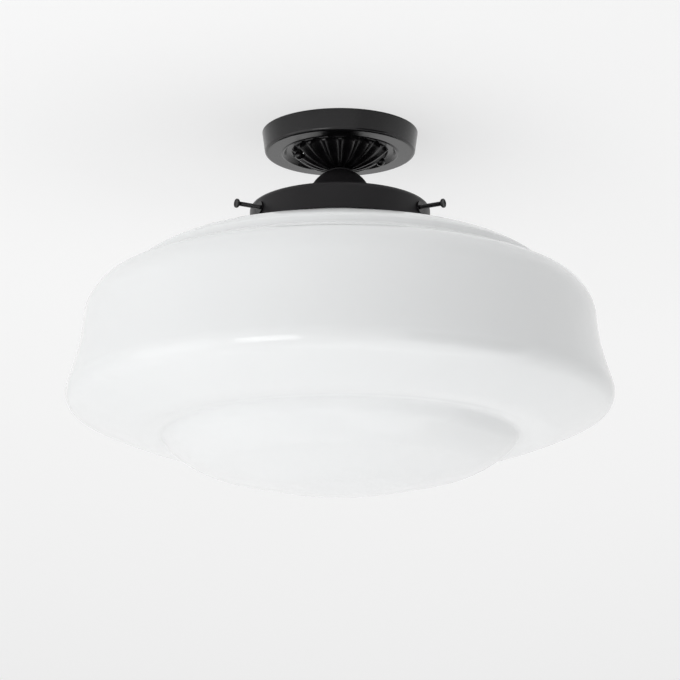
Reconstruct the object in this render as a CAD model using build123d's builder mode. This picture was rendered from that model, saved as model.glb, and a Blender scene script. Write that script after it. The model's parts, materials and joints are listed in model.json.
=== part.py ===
from build123d import *
from math import atan2, cos, pi, radians, sin, sqrt, tan
import os

# Semi flush ceiling light: a fluted canopy, a domed three-screw gallery and a stepped opal shade.
# Frame: millimetres, ceiling face at z = 0, the light hangs towards -Z, its axis is Z.

# ---------------------------------------------------------------- driving dimensions
# fits
thread_fit = 0.05  # radial play of a screw in its tapped hole
slip_fit = 0.3  # play of a shaft in a plain hole, and between rounded faces
lift_gap = 1.0  # play of the shade's lip under the gallery
lip_gap = 3.0  # between the shade's lip and the skirt round it
corner_share = 0.48  # most of a straight run that a rounded corner may take

# canopy: a cast dish with a tapered band, a beaded underside and a fluted bowl
canopy_top_radius = 68.6
canopy_low_radius = 66.0
canopy_height = 18.8
canopy_wall = 2.0
canopy_corner = 2.6
bead_radius = 50.5
bead_section = 1.3
bead_round = 1.0
recess_radius = 46.8
recess_height = 3.2
recess_round = 1.5
bowl_radius = 41.8
bowl_foot_radius = 10.2
bowl_depth = 15.8  # from the underside of the dish to the foot of the bowl
bowl_curve = 59.0
bowl_wall = 3.8
bowl_round = 2.0
bowl_shoulder = 3.4
bowl_shoulder_drop = 2.7
bowl_shoulder_round = 4.0
flute_count = 18
flute_ridge = 0.9  # width left standing between two flutes
flute_roundness = 0.62  # radius of a flute over its width
flute_shares = (-0.05, 0.5, 1.06)  # stations along the bowl's curve, from foot to edge

# crossbar that the canopy hangs from
bar_turn = 14.4  # degrees that the bar is turned about Z
bar_width = 20.0
bar_thickness = 2.0
bar_plate_half = 30.0
bar_drop = 8.0
bar_tab = 15.0
bar_bend = 1.5  # inside radius of its bends
block_tongue_round = 1.5
wire_hole_radius = 6.0
ceiling_hole_span = 44.0
ceiling_hole_radius = 2.5

# screws with ball heads that hold the canopy to the bar
canopy_screw_span = 74.0
canopy_screw_radius = 2.0
ball_radius = 3.9
ball_collar_radius = 3.2
ball_neck = 2.6  # from the seat to the centre of the ball
seat_radius = 4.4
seat_depth = 2.0  # how far the seat is sunk in the bowl
screw_end = 3.0  # thread that shows above the bar

# hollow M10 nipple with its nuts and washers
nipple_radius = 5.0
nipple_bore = 3.8
nipple_end = 2.3
nut_flats = 14.0
nut_height = 3.0
nut_chamfer = 0.3
washer_radius = 7.8
washer_thickness = 1.2

# gallery: spun skirt, stepped shoulder, dome and neck
skirt_radius = 79.0
skirt_height = 23.3
skirt_corner = 4.5
gallery_wall = 1.5
shoulder_radius = 61.0
shoulder_rise = 4.2
shoulder_slope = 2.0
dome_radius = 28.0
dome_foot = 2.5
neck_radius = 10.0
neck_height = 1.0
gallery_height = 57.2  # from the top of the neck to the edge of the skirt

# thumb screws that hold the shade, and the bushes they run in
thumb_azimuths = {"left": 210.0, "right": 330.0, "back": 90.0}
thumb_drop = 11.6  # below the top of the skirt
thumb_radius = 2.0
thumb_stand_off = 21.3  # from the skirt's face to the head, with the screw home
thumb_head_radius = 4.0
thumb_head_length = 3.0
thumb_dish = 0.9
thumb_dish_slope = 45.0
bush_radius = 3.6
bush_flange_radius = 5.2
bush_flange = 1.6
bush_inside = 1.8

# opal shade: drops are measured from the top of its lip
shade_wall = 3.5
lip_overhang = 3.2  # of the lip past the neck
lip_height = 5.3
lip_round = 2.2
throat_drop = 19.5
throat_round = 5.0
cap_width = 91.6
cap_fall = 28.6
cap_round = 64.0
brow_width = 14.4
brow_fall = 8.9
brow_round = 3.0
step_lean = 1.3
step_fall = 7.0
step_round = 3.0
shoulder_width = 29.8
shoulder_fall = 11.6
shoulder_round = 22.0
turn_width = 12.2
turn_fall = 15.9
turn_round = 32.0
wall_lean = 3.6
wall_fall = 37.5
wall_round = 174.0
flare_width = 14.9
flare_fall = 47.7
rim_round = 16.4
base_width = 26.1
base_fall = 13.0
base_round = 250.0
sole_width = 35.0
sole_fall = 13.6
sole_round = 61.0
valley_width = 24.0
valley_round = 5.0
bank_width = 7.1
bank_fall = 10.3
bank_round = 32.0
dish_width = 23.4
dish_fall = 15.9
dish_round = 74.0
bottom_width = 76.2
bottom_fall = 18.3
bottom_round = 190.0

# lamp holder: bracket, porcelain body, screw shell and contacts
bracket_thickness = 1.5
bracket_bend = 1.0
bracket_height = 14.2
bracket_plate_half = 11.0
bracket_foot_half = 18.5
bracket_width = 12.0
bracket_screw_span = 30.0
bracket_screw_radius = 1.5
bracket_screw_length = 9.0
holder_radius = 20.5
holder_height = 38.0
holder_skirt_radius = 18.0
holder_step = 16.0
holder_round = 2.0
shell_radius = 13.45
shell_wall = 0.4
shell_length = 22.0
shell_recess = 3.5
contact_width = 5.0
contact_thickness = 0.5
contact_rise = 2.4
terminal_length = 7.0
terminal_height = 5.0
terminal_span = 26.0
terminal_bore = 1.5
terminal_round = 0.7
small_screw_radius = 1.4
small_head_radius = 2.3
small_head_height = 1.5

# lamp
lamp_radius = 30.0
lamp_length = 107.0
lamp_cap_radius = 13.15
lamp_cap_length = 22.0
lamp_cap_wall = 0.5
lamp_neck_radius = 13.6
lamp_glass = 1.0
lamp_contact_radius = 4.5
lamp_contact_height = 1.1
lamp_insulator_height = 2.9

# terminal block and leads
pole_pitch = 10.0
pole_radius = 4.2
pole_length = 17.0
pole_web = 4.0
tower_radius = 3.0
tower_height = 3.0
insert_radius = 2.5
insert_bore = 1.6
lead_radius = 1.1
lead_bend = 4.0
lead_splay = 0.6  # share of the way to its terminal at which a lead levels out
earth_offset = 15.0
earth_screw_radius = 2.0
earth_head_radius = 3.8
earth_head_height = 2.6
earth_head_round = 0.85
earth_lug_radius = 4.4
earth_lug_thickness = 0.8
earth_washer_thickness = 1.0
lug_barrel_radius = 1.9
lug_barrel_length = 4.4

# ---------------------------------------------------------------- places worked out from them
canopy_underside = -canopy_height
foot_z = canopy_underside - bowl_depth
bowl_floor = foot_z + bowl_wall
skirt_bottom = foot_z - gallery_height
skirt_top = skirt_bottom + skirt_height
dome_centre = foot_z - neck_height - sqrt(dome_radius**2 - neck_radius**2)
shade_top = skirt_top - gallery_wall - lift_gap
lip_radius = skirt_radius - gallery_wall - lip_gap
throat_radius = lip_radius - lip_overhang
thumb_head_start = skirt_radius + thumb_stand_off
thumb_z = skirt_top - thumb_drop
gallery_ceiling = foot_z - gallery_wall
lower_nut_top = gallery_ceiling - washer_thickness
bracket_top = lower_nut_top - nut_height
nipple_top = bowl_floor + washer_thickness + nut_height + nipple_end
nipple_bottom = bracket_top - bracket_thickness - nipple_end
holder_top = bracket_top - bracket_height
holder_bottom = holder_top - holder_height
holder_bore = shell_radius + shell_wall + slip_fit / 2
shell_bottom = holder_bottom + shell_recess
holder_floor = shell_bottom + shell_length + contact_rise
lamp_tip = holder_floor - contact_rise - contact_thickness - slip_fit
bar_tab_top = -bar_drop
bar_tab_bottom = bar_tab_top - bar_thickness

bar_plane = Plane.XY.rotated((0, 0, bar_turn))
bar_side = Plane((0, 0, 0), x_dir=bar_plane.x_dir, z_dir=-bar_plane.y_dir)
os.makedirs("parts", exist_ok=True)


def write(piece, name):
    """Label a finished piece and write it under its own name."""
    piece.part.label = name
    export_step(piece.part, f"parts/{name}.step")


def corner_radius(before, corner, after, wished):
    """The wished radius, or the largest that the two runs beside the corner leave room for."""
    run_in, run_out = Vector(corner) - Vector(before), Vector(after) - Vector(corner)
    turn = radians(run_in.get_angle(run_out))
    return min(wished, corner_share * min(run_in.length, run_out.length) / tan(turn / 2))


def outline(points, radii):
    """Draw straight runs through the points, rounded at each inner point by its radius."""
    inner = [
        corner_radius(*points[i : i + 3], radius) for i, radius in enumerate(radii)
    ]
    return FilletPolyline(*points, radius=inner)


def ring(low, high, outer, inner):
    """Make a flat ring between two heights."""
    with BuildPart() as made:
        with BuildSketch(Plane.XY.offset(low)):
            Circle(outer)
            Circle(inner, mode=Mode.SUBTRACT)
        extrude(amount=high - low)
    return made


def hex_nut(low):
    """Make a hexagon nut for the nipple, standing on the given height."""
    with BuildPart() as made:
        with BuildSketch(bar_plane.offset(low)):
            RegularPolygon(nut_flats / 2, 6, major_radius=False)
            Circle(nipple_radius + thread_fit, mode=Mode.SUBTRACT)
        extrude(amount=nut_height)
        chamfered = made.edges().filter_by(GeomType.LINE).group_by(Axis.Z)[-1]
        chamfer(chamfered, nut_chamfer)
    return made


def lead(points, bend):
    """Make an insulated lead along straight runs that meet in bends."""
    with BuildPart() as made:
        with BuildLine() as route:
            outline(points, [bend] * (len(points) - 2))
        with BuildSketch(Plane(route.line @ 0, z_dir=route.line % 0)):
            Circle(lead_radius)
        sweep(path=route.line)
    return made


def in_bar_frame(x, y, z):
    """Turn a point given along the bar into the light's own frame."""
    return bar_plane.from_local_coords(Vector(x, y, z))


def bent_half(plate_half, top, foot, reach, thickness, bend):
    """Draw half of a strip that is bent down from its plate and out again into a foot."""
    under, inside = top - thickness, plate_half - thickness
    upper = outline(
        [(0, top), (plate_half, top), (plate_half, foot), (reach, foot)],
        [bend + thickness, bend],
    )
    lower = outline(
        [(reach, foot - thickness), (inside, foot - thickness), (inside, under), (0, under)],
        [bend + thickness, bend],
    )
    Line(upper @ 1, lower @ 0)
    Line(lower @ 1, upper @ 0)


def shell_half(outer, wall):
    """Half section of a turned shell: the outer face less the same face set in by the wall."""
    box = outer.sketch.bounding_box()
    reach = 2 * max(box.max.X, abs(box.min.Y))
    with BuildSketch(mode=Mode.PRIVATE) as half:
        add(outer.sketch)
        offset(outer.sketch, amount=-wall, mode=Mode.SUBTRACT)
        with Locations((-reach / 2, 0)):
            Rectangle(reach, 2 * reach, mode=Mode.SUBTRACT)
    return half.sketch


# ---------------------------------------------------------------- canopy
def bowl_centre():
    """Centre of the arc, in the half section, that the ridges of the bowl follow."""
    start = Vector(bowl_radius - bowl_shoulder, canopy_underside - bowl_shoulder_drop)
    end = Vector(bowl_foot_radius, foot_z)
    chord = end - start
    height = sqrt(bowl_curve**2 - (chord.length / 2) ** 2)
    inward = Vector(chord.Y, -chord.X).normalized()
    return start, end, (start + end) / 2 + inward * height


bowl_start, bowl_end, bowl_middle = bowl_centre()
start_angle = atan2(bowl_start.Y - bowl_middle.Y, bowl_start.X - bowl_middle.X)
end_angle = atan2(bowl_end.Y - bowl_middle.Y, bowl_end.X - bowl_middle.X)


def flute_station(share):
    """Plane and radius of a flute's round section, from the bowl's foot (0) to its edge (1)."""
    angle = end_angle + share * (start_angle - end_angle)
    normal = Vector(cos(angle), 0, sin(angle))
    ridge = Vector(bowl_middle.X, 0, bowl_middle.Y) + normal * bowl_curve
    width = 2 * pi * ridge.X / flute_count - flute_ridge
    radius = flute_roundness * width
    centre = ridge + normal * sqrt(radius**2 - (width / 2) ** 2)
    return Plane(centre, z_dir=(-sin(angle), 0, cos(angle))), radius


with BuildPart() as flute:
    for share in flute_shares:
        section, flute_radius = flute_station(share)
        with BuildSketch(section):
            Circle(flute_radius)
    loft()
    with Locations(section.location):
        Sphere(flute_radius)

with BuildPart() as canopy:
    with BuildSketch(Plane.XZ):
        with BuildLine():
            underside = outline(
                [
                    (canopy_top_radius, 0),
                    (canopy_low_radius, canopy_underside),
                    (bead_radius + bead_section, canopy_underside),
                    (bead_radius, canopy_underside - bead_section / 2),
                    (bead_radius - bead_section, canopy_underside),
                    (recess_radius, canopy_underside + recess_height),
                    (bowl_radius, canopy_underside + recess_height),
                    (bowl_radius, canopy_underside),
                    (bowl_start.X, bowl_start.Y),
                ],
                [
                    canopy_corner,
                    bead_round,
                    bead_round,
                    recess_round,
                    bowl_round,
                    bowl_round,
                    bowl_shoulder_round,
                ],
            )
            RadiusArc(underside @ 1, (bowl_end.X, bowl_end.Y), bowl_curve)
            Polyline((bowl_end.X, bowl_end.Y), (0, foot_z), (0, 0), (canopy_top_radius, 0))
        make_face()
    revolve(axis=Axis.Z)
    with PolarLocations(0, flute_count):
        add(flute.part, mode=Mode.SUBTRACT)
    with BuildSketch(Plane.XZ):
        with BuildLine():
            ceiling_z = canopy_underside + canopy_wall
            inner_bowl = bowl_curve - bowl_wall
            floor_start = bowl_middle + (bowl_start - bowl_middle) * inner_bowl / bowl_curve
            floor_end_x = sqrt(inner_bowl**2 - (bowl_floor - bowl_middle.Y) ** 2) + bowl_middle.X
            cavity = outline(
                [
                    (canopy_top_radius - canopy_wall, 0),
                    (canopy_low_radius - canopy_wall, ceiling_z),
                    (bead_radius, ceiling_z),
                    (recess_radius, ceiling_z + recess_height),
                    (floor_start.X, ceiling_z + recess_height),
                    (floor_start.X, floor_start.Y),
                ],
                [bead_round, recess_round, recess_round, bead_round],
            )
            RadiusArc(cavity @ 1, (floor_end_x, bowl_floor), inner_bowl)
            Polyline(
                (floor_end_x, bowl_floor),
                (0, bowl_floor),
                (0, 0),
                (canopy_top_radius - canopy_wall, 0),
            )
        make_face()
    revolve(axis=Axis.Z, mode=Mode.SUBTRACT)
    with Locations((0, 0, foot_z)):
        Cylinder(nipple_radius + slip_fit, 2 * bowl_wall, mode=Mode.SUBTRACT)
    seat_reach = canopy_screw_span / 2
    seat_rise = sqrt(bowl_curve**2 - (seat_reach - bowl_middle.X) ** 2)
    seat_z = bowl_middle.Y - seat_rise + seat_depth
    with BuildSketch(bar_plane.offset(seat_z)):
        with PolarLocations(seat_reach, 2):
            Circle(seat_radius)
    extrude(amount=seat_z - foot_z, dir=(0, 0, -1), mode=Mode.SUBTRACT)
    with BuildSketch(bar_plane.offset(seat_z)):
        with PolarLocations(seat_reach, 2):
            Circle(canopy_screw_radius + slip_fit)
    extrude(amount=-seat_z, mode=Mode.SUBTRACT)
write(canopy, "canopy")

# ---------------------------------------------------------------- crossbar and its screws
block_start = bar_width / 2 + slip_fit
block_middle = block_start + pole_length / 2
block_screw = (pole_pitch / 2, block_middle)

with BuildPart() as crossbar:
    with BuildSketch(bar_side):
        with BuildLine():
            tab_end = bar_plate_half + bar_tab
            bent_half(bar_plate_half, 0, bar_tab_top, tab_end, bar_thickness, bar_bend)
        make_face()
    extrude(amount=bar_width / 2, both=True)
    mirror(about=Plane(bar_side.origin, z_dir=bar_plane.x_dir))
    with BuildSketch(bar_plane):
        with Locations((0, bar_width / 2 + pole_length / 2)):
            RectangleRounded(2 * pole_pitch, pole_length, block_tongue_round)
        with Locations((0, bar_width / 2)):
            Rectangle(2 * pole_pitch, pole_length)
    extrude(amount=-bar_thickness)
    with BuildSketch(bar_plane):
        Circle(wire_hole_radius)
        with PolarLocations(ceiling_hole_span / 2, 2):
            Circle(ceiling_hole_radius)
        with Locations((earth_offset, 0)):
            Circle(earth_screw_radius + thread_fit)
        with Locations(block_screw):
            Circle(bracket_screw_radius + thread_fit)
        with PolarLocations(seat_reach, 2):
            Circle(canopy_screw_radius + thread_fit)
    extrude(amount=bar_tab_bottom, mode=Mode.SUBTRACT)
write(crossbar, "crossbar")

for side, along in (("left", -seat_reach), ("right", seat_reach)):
    with BuildPart() as canopy_screw:
        screw_axis = Plane(in_bar_frame(along, 0, 0), x_dir=bar_side.x_dir, z_dir=bar_side.z_dir)
        with BuildSketch(screw_axis):
            with BuildLine():
                ball_z = seat_z - ball_neck
                ball_top = ball_z + sqrt(ball_radius**2 - ball_collar_radius**2)
                ball = ThreePointArc(
                    (0, ball_z - ball_radius), (ball_radius, ball_z), (ball_collar_radius, ball_top)
                )
                Polyline(
                    ball @ 1,
                    (ball_collar_radius, seat_z),
                    (canopy_screw_radius, seat_z),
                    (canopy_screw_radius, bar_tab_top + screw_end),
                    (0, bar_tab_top + screw_end),
                    ball @ 0,
                )
            make_face()
        revolve(axis=Axis(screw_axis.origin, (0, 0, 1)))
    write(canopy_screw, f"canopy_screw_{side}")

# ---------------------------------------------------------------- nipple, nuts and washers
write(ring(nipple_bottom, nipple_top, nipple_radius, nipple_bore), "threaded_nipple")
washer_hole = nipple_radius + slip_fit
upper_washer_top = bowl_floor + washer_thickness
write(ring(bowl_floor, upper_washer_top, washer_radius, washer_hole), "upper_washer")
write(hex_nut(upper_washer_top), "upper_lock_nut")
write(ring(lower_nut_top, gallery_ceiling, washer_radius, washer_hole), "lower_washer")
write(hex_nut(bracket_top), "lower_lock_nut")

# ---------------------------------------------------------------- gallery
shoulder_z = skirt_top + shoulder_rise
dome_side = shoulder_z + shoulder_slope
with BuildSketch(mode=Mode.PRIVATE) as gallery_outer:
    with BuildLine():
        spun = outline(
            [
                (skirt_radius, skirt_bottom),
                (skirt_radius, skirt_top),
                (shoulder_radius, skirt_top),
                (shoulder_radius - shoulder_slope, shoulder_z),
                (dome_radius / 2, dome_side),
            ],
            [skirt_corner, dome_foot, dome_foot],
        )
        Polyline(spun @ 1, (0, dome_side), (0, skirt_bottom), spun @ 0)
    make_face()
    with Locations((0, dome_centre)):
        Circle(dome_radius)
    with Locations((0, foot_z)):
        Rectangle(neck_radius, dome_radius, align=(Align.MIN, Align.MAX))
        Rectangle(dome_radius, dome_radius, align=(Align.MIN, Align.MIN), mode=Mode.SUBTRACT)
    reach = 2 * skirt_radius
    Rectangle(reach, 2 * reach, align=(Align.MAX, Align.CENTER), mode=Mode.SUBTRACT)
    mirror(about=Plane.YZ)
    feet = [v for v in gallery_outer.vertices() if dome_side - 1 < v.Y < dome_side + dome_foot]
    fillet([v for v in feet if abs(v.X) > dome_radius / 2], dome_foot)

with BuildPart() as gallery:
    with BuildSketch(Plane.XZ):
        add(shell_half(gallery_outer, gallery_wall))
    revolve(axis=Axis.Z)
    with Locations((0, 0, skirt_bottom)):
        Cylinder(skirt_radius - gallery_wall, 4 * gallery_wall, mode=Mode.SUBTRACT)
    with Locations((0, 0, foot_z)):
        Cylinder(nipple_radius + slip_fit, 4 * gallery_wall, mode=Mode.SUBTRACT)
    for azimuth in thumb_azimuths.values():
        outward = Vector(cos(radians(azimuth)), sin(radians(azimuth)))
        with BuildSketch(Plane((0, 0, thumb_z), z_dir=outward)):
            Circle(bush_radius + thread_fit)
        extrude(amount=2 * skirt_radius, mode=Mode.SUBTRACT)
write(gallery, "gallery")

# ---------------------------------------------------------------- thumb screws and bushes
def outward_plane(azimuth, radius):
    """Plane square to a thumb screw, at a distance from the light's axis."""
    outward = Vector(cos(radians(azimuth)), sin(radians(azimuth)))
    return Plane(outward * radius + Vector(0, 0, thumb_z), z_dir=outward)


for side, azimuth in thumb_azimuths.items():
    with BuildPart() as bush:
        with BuildSketch(outward_plane(azimuth, skirt_radius - bush_flange_radius)):
            Circle(bush_flange_radius)
        extrude(amount=bush_flange_radius + bush_flange)
        with Locations((0, 0, thumb_z)):
            Cylinder(skirt_radius, 4 * bush_flange_radius, mode=Mode.SUBTRACT)
        with BuildSketch(outward_plane(azimuth, skirt_radius - gallery_wall - bush_inside)):
            Circle(bush_radius)
        extrude(amount=gallery_wall + bush_inside + bush_flange)
        with BuildSketch(outward_plane(azimuth, 0)):
            Circle(thumb_radius + thread_fit)
        extrude(amount=2 * skirt_radius, mode=Mode.SUBTRACT)
    write(bush, f"screw_bush_{side}")

    with BuildPart() as thumb_screw:
        with BuildSketch(outward_plane(azimuth, throat_radius + slip_fit)):
            Circle(thumb_radius)
        extrude(amount=thumb_head_start - throat_radius)
        with BuildSketch(outward_plane(azimuth, thumb_head_start)):
            Circle(thumb_head_radius)
        extrude(amount=thumb_head_length)
        with BuildSketch(outward_plane(azimuth, thumb_head_start + thumb_head_length)):
            Circle(thumb_head_radius - thumb_dish)
        extrude(amount=-thumb_dish, taper=thumb_dish_slope, mode=Mode.SUBTRACT)
    write(thumb_screw, f"thumb_screw_{side}")

# ---------------------------------------------------------------- shade
shade_steps = [
    (cap_width, cap_fall, cap_round),
    (brow_width, brow_fall, brow_round),
    (step_lean, step_fall, step_round),
    (shoulder_width, shoulder_fall, shoulder_round),
    (turn_width, turn_fall, turn_round),
    (wall_lean, wall_fall, wall_round),
    (flare_width, flare_fall, rim_round),
    (-base_width, base_fall, base_round),
    (-sole_width, sole_fall, sole_round),
    (-valley_width, 0, valley_round),
    (-bank_width, bank_fall, bank_round),
    (-dish_width, dish_fall, dish_round),
    (-bottom_width, bottom_fall, bottom_round),
]
shade_corners = [Vector(throat_radius, shade_top - throat_drop)]
for width, fall, _ in shade_steps:
    shade_corners.append(shade_corners[-1] + Vector(width, -fall))
shade_bottom = shade_corners[-1].Y

with BuildSketch(mode=Mode.PRIVATE) as shade_outer:
    with BuildLine():
        body = outline(
            [(throat_radius, shade_top), *shade_corners, (0, shade_bottom)],
            [throat_round] + [rounding for _, _, rounding in shade_steps],
        )
        Polyline(body @ 1, (0, shade_top), body @ 0)
    make_face()
    mirror(about=Plane.YZ)

with BuildPart() as glass_shade:
    with BuildSketch(Plane.XZ):
        add(shell_half(shade_outer, shade_wall))
    revolve(axis=Axis.Z)
    with Locations((0, 0, shade_top)):
        Cylinder(throat_radius - shade_wall, 4 * shade_wall, mode=Mode.SUBTRACT)
    with BuildSketch(Plane.XZ) as lip:
        with Locations((throat_radius - shade_wall, shade_top)):
            lip_width = lip_radius - throat_radius + shade_wall
            Rectangle(lip_width, lip_height, align=(Align.MIN, Align.MAX))
        fillet(lip.vertices().group_by(Axis.X)[-1], lip_round)
    revolve(axis=Axis.Z)
write(glass_shade, "glass_shade")

# ---------------------------------------------------------------- lamp holder
bracket_foot_top = holder_top + bracket_thickness
with BuildPart() as holder_bracket:
    with BuildSketch(bar_side):
        with BuildLine():
            bent_half(
                bracket_plate_half,
                bracket_top,
                bracket_foot_top,
                bracket_foot_half,
                bracket_thickness,
                bracket_bend,
            )
        make_face()
    extrude(amount=bracket_width / 2, both=True)
    mirror(about=Plane(bar_side.origin, z_dir=bar_plane.x_dir))
    with BuildSketch(bar_plane.offset(bracket_top)):
        Circle(nipple_radius + thread_fit)
        with PolarLocations(bracket_screw_span / 2, 2):
            Circle(bracket_screw_radius + slip_fit)
    extrude(amount=-bracket_height, mode=Mode.SUBTRACT)
write(holder_bracket, "holder_bracket")

with BuildPart() as holder_body:
    with BuildSketch(Plane.XZ):
        with BuildLine():
            porcelain = outline(
                [
                    (0, holder_top),
                    (holder_radius, holder_top),
                    (holder_radius, holder_top - holder_step),
                    (holder_skirt_radius, holder_top - holder_step - holder_round),
                    (holder_skirt_radius, holder_bottom),
                    (holder_bore, holder_bottom),
                ],
                [holder_round, holder_round, holder_round, holder_round / 2],
            )
            Polyline(porcelain @ 1, (holder_bore, holder_floor), (0, holder_floor), porcelain @ 0)
        make_face()
    revolve(axis=Axis.Z)
    with BuildSketch(bar_plane.offset(holder_top)):
        with PolarLocations(bracket_screw_span / 2, 2):
            Circle(bracket_screw_radius + thread_fit)
    extrude(amount=-bracket_screw_length, mode=Mode.SUBTRACT)
write(holder_body, "holder_body")

with BuildPart() as holder_screws:
    with BuildSketch(bar_plane.offset(bracket_foot_top)):
        with PolarLocations(bracket_screw_span / 2, 2):
            Circle(2 * bracket_screw_radius)
    extrude(amount=bracket_screw_radius)
    with BuildSketch(bar_plane.offset(bracket_foot_top)):
        with PolarLocations(bracket_screw_span / 2, 2):
            Circle(bracket_screw_radius)
    extrude(amount=-bracket_screw_length)
write(holder_screws, "holder_screws")

write(ring(shell_bottom, shell_bottom + shell_length, shell_radius + shell_wall, shell_radius), "screw_shell")

with BuildPart() as centre_contact:
    with BuildSketch(bar_side):
        with BuildLine():
            contact_reach = holder_bore / 2
            rise = contact_rise - contact_thickness
            Polyline(
                (-contact_reach, holder_floor),
                (-contact_reach, holder_floor - contact_thickness),
                (-contact_reach / 2, holder_floor - contact_thickness),
                (0, holder_floor - contact_rise - contact_thickness),
                (contact_reach / 2, holder_floor - contact_rise - contact_thickness),
                (contact_reach / 2, holder_floor - contact_rise),
                (0, holder_floor - contact_rise),
                (-contact_reach / 2, holder_floor),
                close=True,
            )
        make_face()
    extrude(amount=contact_width / 2, both=True)
write(centre_contact, "centre_contact")

with BuildPart() as holder_terminals:
    with BuildSketch(bar_plane.offset(holder_top)):
        with PolarLocations(terminal_span / 2, 2, start_angle=90):
            RectangleRounded(terminal_length, terminal_length, terminal_round)
    extrude(amount=terminal_height)
    with BuildSketch(Plane((0, 0, holder_top + terminal_height / 2), z_dir=bar_plane.y_dir)):
        Circle(terminal_bore)
    extrude(amount=terminal_span, both=True, mode=Mode.SUBTRACT)
    with BuildSketch(bar_plane.offset(holder_top + terminal_height)):
        with PolarLocations(terminal_span / 2, 2, start_angle=90):
            Circle(small_screw_radius + thread_fit)
    extrude(amount=-terminal_height / 2, mode=Mode.SUBTRACT)
write(holder_terminals, "holder_terminals")

with BuildPart() as holder_terminal_screws:
    screw_tip = holder_top + terminal_height / 2 + lead_radius + thread_fit
    screw_head = holder_top + terminal_height + slip_fit
    with BuildSketch(bar_plane.offset(screw_tip)):
        with PolarLocations(terminal_span / 2, 2, start_angle=90):
            Circle(small_screw_radius)
    extrude(amount=screw_head - screw_tip)
    with BuildSketch(bar_plane.offset(screw_head)):
        with PolarLocations(terminal_span / 2, 2, start_angle=90):
            Circle(small_head_radius)
    extrude(amount=small_head_height)
write(holder_terminal_screws, "holder_terminal_screws")

# ---------------------------------------------------------------- lamp
lamp_bottom = lamp_tip - lamp_length
lamp_cap_top = lamp_tip - lamp_contact_height - lamp_insulator_height
lamp_cap_bottom = lamp_cap_top - lamp_cap_length
lamp_middle = lamp_bottom + lamp_radius

with BuildPart() as lamp_contact:
    with BuildSketch(Plane.XY.offset(lamp_tip)):
        Circle(lamp_contact_radius)
    extrude(amount=-lamp_contact_height, dir=(0, 0, 1))
write(lamp_contact, "lamp_contact")

with BuildPart() as lamp_insulator:
    insulator_radius = lamp_cap_radius - 2 * lamp_cap_wall
    with BuildSketch(Plane.XY.offset(lamp_cap_top)):
        Circle(insulator_radius)
    with BuildSketch(Plane.XY.offset(lamp_cap_top + lamp_insulator_height)):
        Circle(lamp_contact_radius)
    loft()
write(lamp_insulator, "lamp_insulator")

with BuildPart() as lamp_cap:
    with BuildSketch(Plane.XY.offset(lamp_cap_bottom)):
        Circle(lamp_cap_radius)
    extrude(amount=lamp_cap_length)
    chamfer(lamp_cap.edges().group_by(Axis.Z)[-1], lamp_cap_wall / 2)
    with BuildSketch(Plane.XY.offset(lamp_cap_bottom)):
        Circle(lamp_cap_radius - lamp_cap_wall)
    extrude(amount=lamp_cap_length - lamp_cap_wall, mode=Mode.SUBTRACT)
write(lamp_cap, "lamp_cap")

with BuildSketch(mode=Mode.PRIVATE) as lamp_outer:
    with BuildLine():
        throat_z = lamp_cap_bottom + lamp_glass
        lamp_throat = lamp_cap_radius - lamp_cap_wall - slip_fit / 2
        crown = outline(
            [
                (lamp_throat, throat_z + lamp_glass),
                (lamp_throat, lamp_cap_bottom - lamp_glass),
                (lamp_neck_radius, lamp_cap_bottom - lamp_neck_radius / 2),
                (lamp_radius, lamp_middle + lamp_radius / 2),
                (lamp_radius, lamp_middle),
            ],
            [lamp_glass, 2 * lamp_radius, lamp_radius],
        )
        globe = RadiusArc(crown @ 1, (0, lamp_bottom), lamp_radius)
        Polyline(globe @ 1, (0, throat_z + lamp_glass), crown @ 0)
    make_face()
    mirror(about=Plane.YZ)

with BuildPart() as lamp_bulb:
    with BuildSketch(Plane.XZ):
        add(shell_half(lamp_outer, lamp_glass))
    revolve(axis=Axis.Z)
    with BuildSketch(Plane.XY.offset(throat_z)):
        Circle(lamp_cap_radius)
    extrude(amount=2 * lamp_glass, mode=Mode.SUBTRACT)
write(lamp_bulb, "lamp_bulb")

# ---------------------------------------------------------------- terminal block
pole_z = -bar_thickness - tower_height - pole_radius
block_front = bar_side.offset(-block_start)
poles = [-pole_pitch, 0, pole_pitch]
screw_seats = [
    (pole, block_middle + step * pole_length / 4) for pole in poles for step in (-1, 1)
]
block_head_radius = pole_pitch / 2 - insert_radius - slip_fit
block_screw_seat = pole_z - pole_web / 2

with BuildPart() as terminal_block:
    with BuildSketch(block_front):
        with Locations(*[(pole, pole_z) for pole in poles]):
            Circle(pole_radius)
        with Locations((0, pole_z)):
            Rectangle(2 * pole_pitch, pole_web)
    extrude(amount=-pole_length)
    with BuildSketch(bar_plane.offset(pole_z)):
        with Locations(block_screw):
            Rectangle(pole_pitch / 2, pole_length / 2)
    extrude(amount=-bar_thickness - pole_z)
    with BuildSketch(bar_plane.offset(pole_z)):
        with Locations(*screw_seats):
            Circle(tower_radius)
    extrude(amount=-pole_radius - tower_height)
    with BuildSketch(block_front):
        with Locations(*[(pole, pole_z) for pole in poles]):
            Circle(insert_radius)
    extrude(amount=-pole_length, mode=Mode.SUBTRACT)
    with BuildSketch(bar_plane.offset(pole_z)):
        with Locations(*screw_seats):
            Circle(small_screw_radius + thread_fit)
    extrude(amount=-pole_radius - tower_height, mode=Mode.SUBTRACT)
    with BuildSketch(bar_plane):
        with Locations(block_screw):
            Circle(bracket_screw_radius + thread_fit)
    extrude(amount=2 * pole_z, mode=Mode.SUBTRACT)
    with BuildSketch(bar_plane.offset(block_screw_seat)):
        with Locations(block_screw):
            Circle(block_head_radius + thread_fit)
    extrude(amount=-pole_radius, mode=Mode.SUBTRACT)
write(terminal_block, "terminal_block")

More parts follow.
